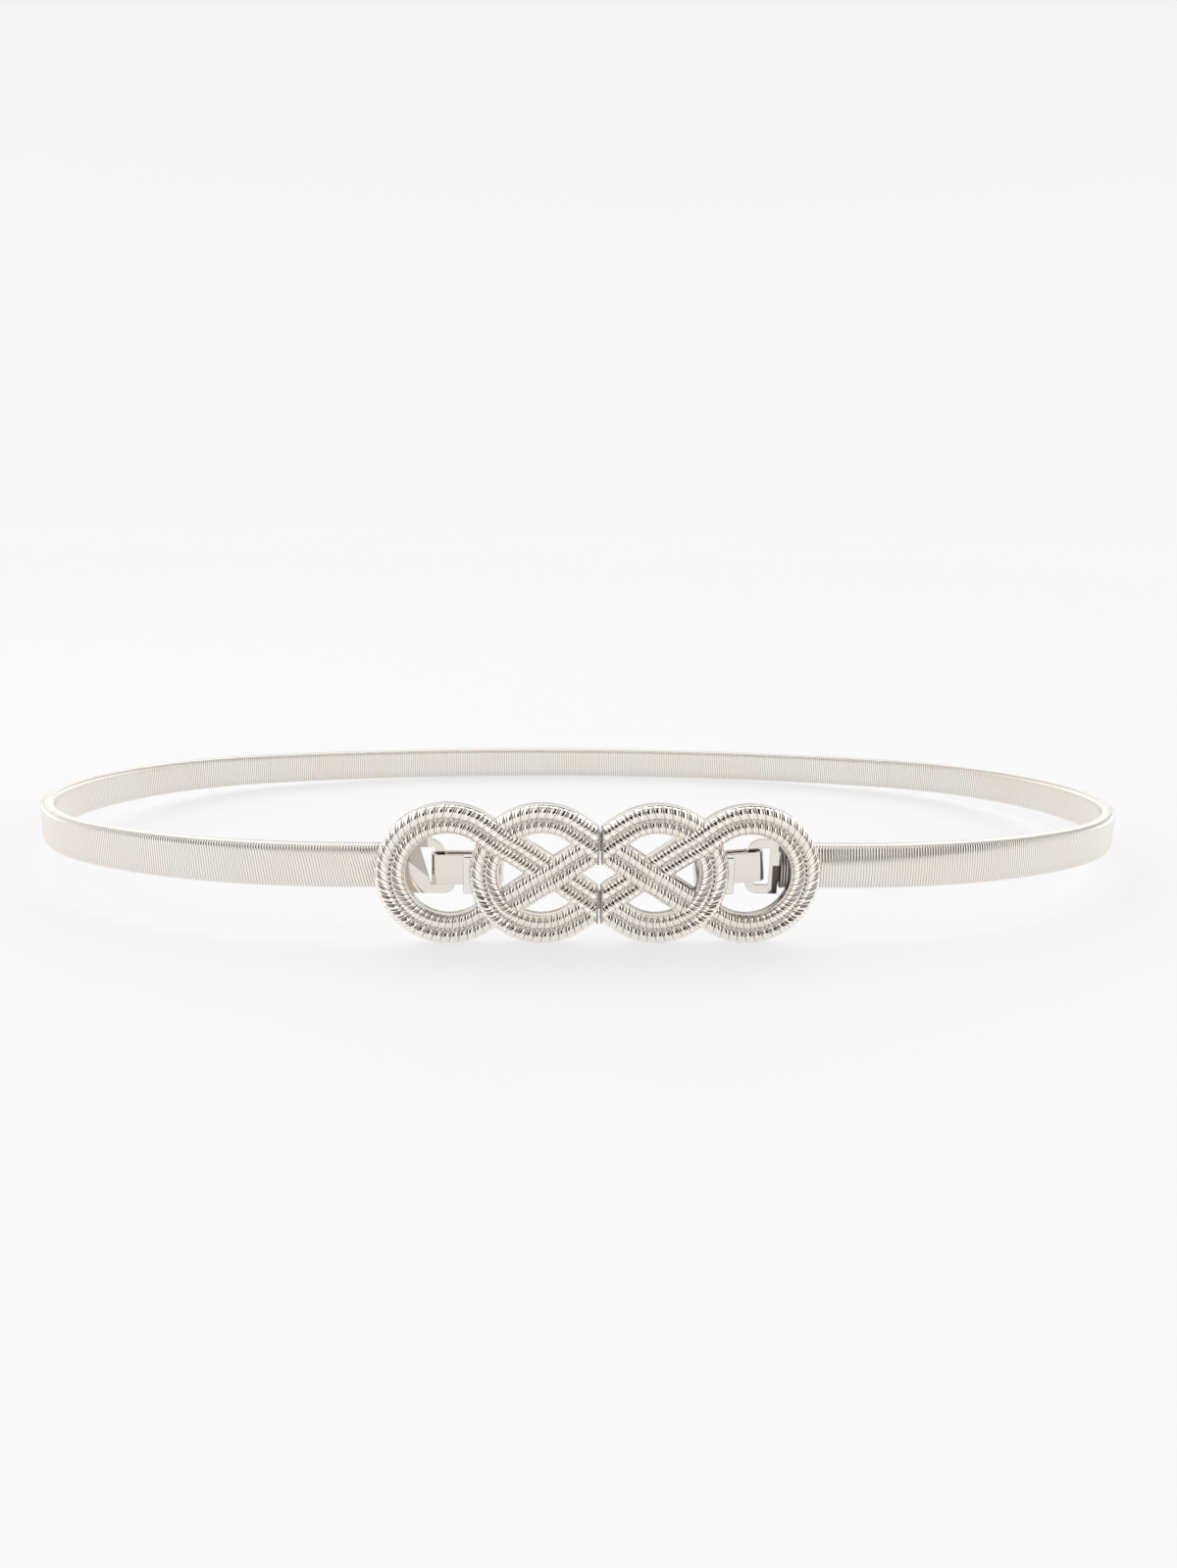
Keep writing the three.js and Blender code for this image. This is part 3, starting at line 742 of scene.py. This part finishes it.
def block(low, high, bevel, dark):
    """A box with round edges, drawn in x and z, from y near to y far, with painted shade as told.
    """
    outline = rounded_box((low[0], low[2]), (high[0], high[2]), bevel * 1.5, BLOCK_STEPS)
    mesh = slab(outline, [], high[1] - low[1], bevel, upright(low[1], high[1]))
    marks = mesh.attributes.new("painted_shade", "FLOAT", "POINT")
    marks.data.foreach_set("value", [dark] * len(marks.data))
    return mesh


def cut_at_seam(mesh):
    """Cuts a mesh flat at the seam and closes the cut."""
    work = bmesh.new()
    work.from_mesh(mesh)
    at = (seam_half + SEAM_STEP, 0, 0)
    plane = {"plane_co": at, "plane_no": (1, 0, 0), "clear_inner": True}
    cut = bmesh.ops.bisect_plane(work, geom=[*work.verts, *work.edges, *work.faces], **plane)
    edges = [part for part in cut["geom_cut"] if isinstance(part, bmesh.types.BMEdge)]
    bmesh.ops.holes_fill(work, edges=edges)
    work.to_mesh(mesh)
    work.free()
    return mesh


def joined(meshes, mirror):
    """Several meshes as one, mirrored in x for the left half."""
    work = bmesh.new()
    for part in meshes:
        work.from_mesh(part)
    if mirror:
        bmesh.ops.scale(work, vec=(-1, 1, 1), verts=work.verts)
        bmesh.ops.reverse_faces(work, faces=work.faces)
    whole = bpy.data.meshes.new("joined")
    work.to_mesh(whole)
    work.free()
    return whole


# %% Seam walls and fittings
def seam_walls():
    """The plain walls at the seam, above and below the diamond."""
    half_tall = STRAND_WIDE / 2 / math.cos(SLOPE)
    walls = []
    for way in (-1, 1):
        middle = way * seam_crossing
        low = (seam_half, -WALL_HIGH, middle - half_tall)
        high = (seam_half + SEAM_WALL, -APART, middle + half_tall)
        walls.append(block(low, high, SEAM_BEVEL, SEAM_SHADE))
    return walls


def back_fittings(peg_out):
    """Bar, lugs and flange for the link, and two pegs for the hook."""
    bar_x = inner_lobe + lobe_radius - STRAND_WIDE / 2 + FIT
    near = 2 * FIT + LINK_STRIP
    far = near + LINK_BAR["depth"]
    tall = LINK_BAR["spread"] / 2
    top = tall + LINK_BAR["lug"]
    right = bar_x + LINK_BAR["width"]
    bar_low = (bar_x + APART, near, APART - top)
    bar_high = (right - APART, far - APART, top - APART)
    parts = [block(bar_low, bar_high, CAST_BEVEL, 0)]
    for low, high in ((-top, -tall), (tall, top)):
        parts.append(block((bar_x, -INTO_STRAND, low), (right, far, high), CAST_BEVEL, 0))
    edge = inner_lobe + lobe_radius + STRAND_WIDE / 2
    flange_high = FLANGE["height"] / 2
    low = (edge - STRAND_WIDE / 2, -FLANGE["depth"], -flange_high - FLANGE["lower"])
    high = (edge + FLANGE["width"], -2 * APART, flange_high - FLANGE["lower"])
    parts.append(block(low, high, CAST_BEVEL, FLANGE_SHADE))
    for way in (-1, 1):
        ring = circle((peg_out, way * seam_crossing), PEG["radius"])
        deep = FIT + HOOK_SHEET
        lie = upright(-INTO_STRAND, deep)
        parts.append(slab(ring, [], deep + INTO_STRAND, PEG_BEVEL, lie))
    return parts


# %% Both halves
HALVES = (
    # wall: how much shade is painted on the walls that face into the holes.
    {"name": "right", "mirror": False, "peg": PEG["hooked"], "wall": 0.95},
    {"name": "left", "mirror": True, "peg": PEG["fixed"], "wall": 0.2},
)
for half in HALVES:
    strands = [cut_at_seam(strand_mesh(row, half["wall"])) for row in STRANDS]
    parts = [*strands, *seam_walls(), *back_fittings(half["peg"])]
    mesh = joined(parts, half["mirror"])
    belong("knot_" + half["name"], mesh, casting, "buckle_half_" + half["name"])

# %% [markdown]
# ## Links, plates and hook
# These are all bent or stamped from flat strip. Drawing the outline as a curve and letting the
# curve's own bevel round its edges gives the small bright edge that stamped metal has. Each plate
# has a darker part next to the coil, a painted reflection of the dark ceiling: the real left
# plate is creased at that corner and the real right one pressed at that edge, but these stay
# flat. The part is cut out along straight lines, so that the painted tone has an edge to stop at.

# %% Measures of the ends
PLATE = {"high": 13 * MM, "corner": 3.2 * MM, "bar": 2.1 * MM, "sheet": 0.8 * MM}
WINDOW = {"wide": 3.3 * MM, "high": 8.5 * MM}
TONGUE = {"long": 6 * MM, "high": 7.2 * MM}
LINK_HIGH, LINK_TO = 6.9 * MM, 37.3 * MM
ENDS = (
    {"name": "left", "side": -1, "lean": 15, "roll": 0, "rise": 0.2 * MM},
    {"name": "right", "side": 1, "lean": 2, "roll": 5.5, "rise": 0.5 * MM},
)
MOST_ROLL = max(end["roll"] for end in ENDS)
stack_middle = FIT + LINK_DEEP / 2
band_middle = band_high.z - BAND_HIGH / 2
PLATE_BEVEL, LINK_BEVEL, HOOK_BEVEL = 0.14 * MM, 0.1 * MM, 0.15 * MM
CORNER_ROUND = 12
SOFT_BORDER = 0.2 * MM
CREASE = math.radians(39.6)
# Painted reflection of the dark ceiling: where each plate is darkened, and how much.
PAINTED_DARK_PATCHES = {
    "left": {
        "dark": 0.45,
        "edges": (
            {"at": (-40.9 * MM, -0.4 * MM), "way": (math.sin(CREASE), math.cos(CREASE))},
            {"at": (-37.9 * MM, 0.0), "way": (-1, 0)},
        ),
    },
    "right": {
        "dark": 1.0,
        "edges": (
            {"at": (39.2 * MM, 0.0), "way": (1, 0)},
            {"at": (0.0, 0.3 * MM), "way": (0, -1)},
        ),
    },
}
print("plates start", round(PLATE_FROM / MM, 1), "mm from the seam")


# %% Plate
def painted_dark_patch(mesh, patch):
    """Paints a dark reflection on the part of a plate past every edge given, with a narrow soft
    border.
    """
    work = bmesh.new()
    work.from_mesh(mesh)
    planes = []
    for edge in patch["edges"]:
        point = Vector((edge["at"][0], 0, band_middle + edge["at"][1]))
        planes.append((point, Vector((edge["way"][0], 0, edge["way"][1]))))
    for point, way in planes:
        for step in (0, SOFT_BORDER):
            whole = [*work.verts, *work.edges, *work.faces]
            at = point + way * step
            bmesh.ops.bisect_plane(work, geom=whole, plane_co=at, plane_no=way)
    marks = work.verts.layers.float.new("painted_shade")
    for corner in work.verts:
        past = min((corner.co - point).dot(way) for point, way in planes)
        corner[marks] = patch["dark"] if past > SOFT_BORDER / 2 else 0
    work.to_mesh(mesh)
    work.free()
    return mesh


def plate(end):
    """Sheet with a round end, a window and a tongue, sheared by the end's lean."""
    high, tongue = PLATE["high"] / 2, TONGUE["high"] / 2
    left, right = PLATE_FROM, PLATE_FROM + PLATE_LONG[end["name"]]
    tip = right + FIT + TONGUE["long"]
    corner = PLATE["corner"]
    outline = [
        (right, -high), (right, -tongue), (tip, -tongue),
        (tip, tongue), (right, tongue), (right, high),
        *arc((left + corner, high - corner), corner, 90, 180, CORNER_ROUND),
        *arc((left + corner, corner - high), corner, 180, 270, CORNER_ROUND),
    ]
    window_low = (left + PLATE["bar"], -WINDOW["high"] / 2)
    window_high = (left + PLATE["bar"] + WINDOW["wide"], WINDOW["high"] / 2)
    window = rounded_box(window_low, window_high, FIT, BLOCK_STEPS)
    slant = math.tan(math.radians(end["lean"]))

    def leaning(loop):
        fade = [min(max((right - x) / corner, 0), 1) for x, _ in loop]
        return [(x + z * slant * share, z) for (x, z), share in zip(loop, fade)]

    thick = PLATE["sheet"]
    lie = upright(stack_middle - thick / 2, stack_middle + thick / 2)
    lie = Matrix.Translation((0, 0, band_middle - knot_middle)) @ lie
    mesh = slab(leaning(outline), [leaning(window)], thick, PLATE_BEVEL, lie)
    return painted_dark_patch(joined([mesh], end["side"] < 0), PAINTED_DARK_PATCHES[end["name"]])


# %% Link
def link(end):
    """A closed loop of flat strip round two bars."""
    radius = LINK_DEEP / 2
    roll = math.radians(end["roll"])
    bar_x = inner_lobe + lobe_radius - STRAND_WIDE / 2 + FIT
    slack = LINK_HIGH / 2 * math.sin(math.radians(MOST_ROLL))
    long = LINK_TO - (bar_x - FIT - slack - LINK_STRIP)
    outline = rounded_box((-long / 2, -radius), (long / 2, radius), radius, CORNER_ROUND)
    inner_half, inner_radius = long / 2 - LINK_STRIP, radius - LINK_STRIP
    inner_low, inner_high = (-inner_half, -inner_radius), (inner_half, inner_radius)
    inside = rounded_box(inner_low, inner_high, inner_radius, CORNER_ROUND)
    middle = end["side"] * (LINK_TO - long / 2)
    place = (middle, knot_back + stack_middle, knot_middle + end["rise"])
    lie = Matrix.Translation(place) @ Matrix.Rotation(-end["side"] * roll, 4, "Y")
    return slab(outline, [inside], LINK_HIGH, LINK_BEVEL, lie)


for end in ENDS:
    name = end["name"]
    belong("plate_" + name, plate(end), sheet, "end_plate_" + name)
    belong("strip_link_" + name, link(end), sheet, "link_" + name)

# %% Hook
HOOK = {"reach": 5.75 * MM, "arm": 4.4 * MM, "spine_from": 4.2 * MM, "spine_to": 6.4 * MM}
hook_outer = seam_crossing + HOOK["arm"] / 2
hook_inner = seam_crossing - HOOK["arm"] / 2
notch = PEG["radius"] + FIT
hooked = PEG["hooked"]
hook_outline = [
    (-HOOK["spine_to"], -hook_outer), (hooked - notch, -hook_outer),
    *arc((hooked, -seam_crossing), notch, 180, 0, CORNER_ROUND),
    (hooked + notch, -hook_outer), (HOOK["reach"], -hook_outer), (HOOK["reach"], -hook_inner),
    (-HOOK["spine_from"], -hook_inner), (-HOOK["spine_from"], hook_inner),
    (hooked - notch, hook_inner),
    *arc((hooked, seam_crossing), notch, 180, 0, CORNER_ROUND),
    (hooked + notch, hook_inner), (HOOK["reach"], hook_inner), (HOOK["reach"], hook_outer),
    (-HOOK["spine_to"], hook_outer),
]
hook_holes = [circle((-PEG["fixed"], way * seam_crossing), notch) for way in (-1, 1)]
hook_lie = upright(FIT, FIT + HOOK_SHEET)
hook_mesh = slab(hook_outline, hook_holes, HOOK_SHEET, HOOK_BEVEL, hook_lie)
belong("hook", hook_mesh, sheet, "clasp_hook")
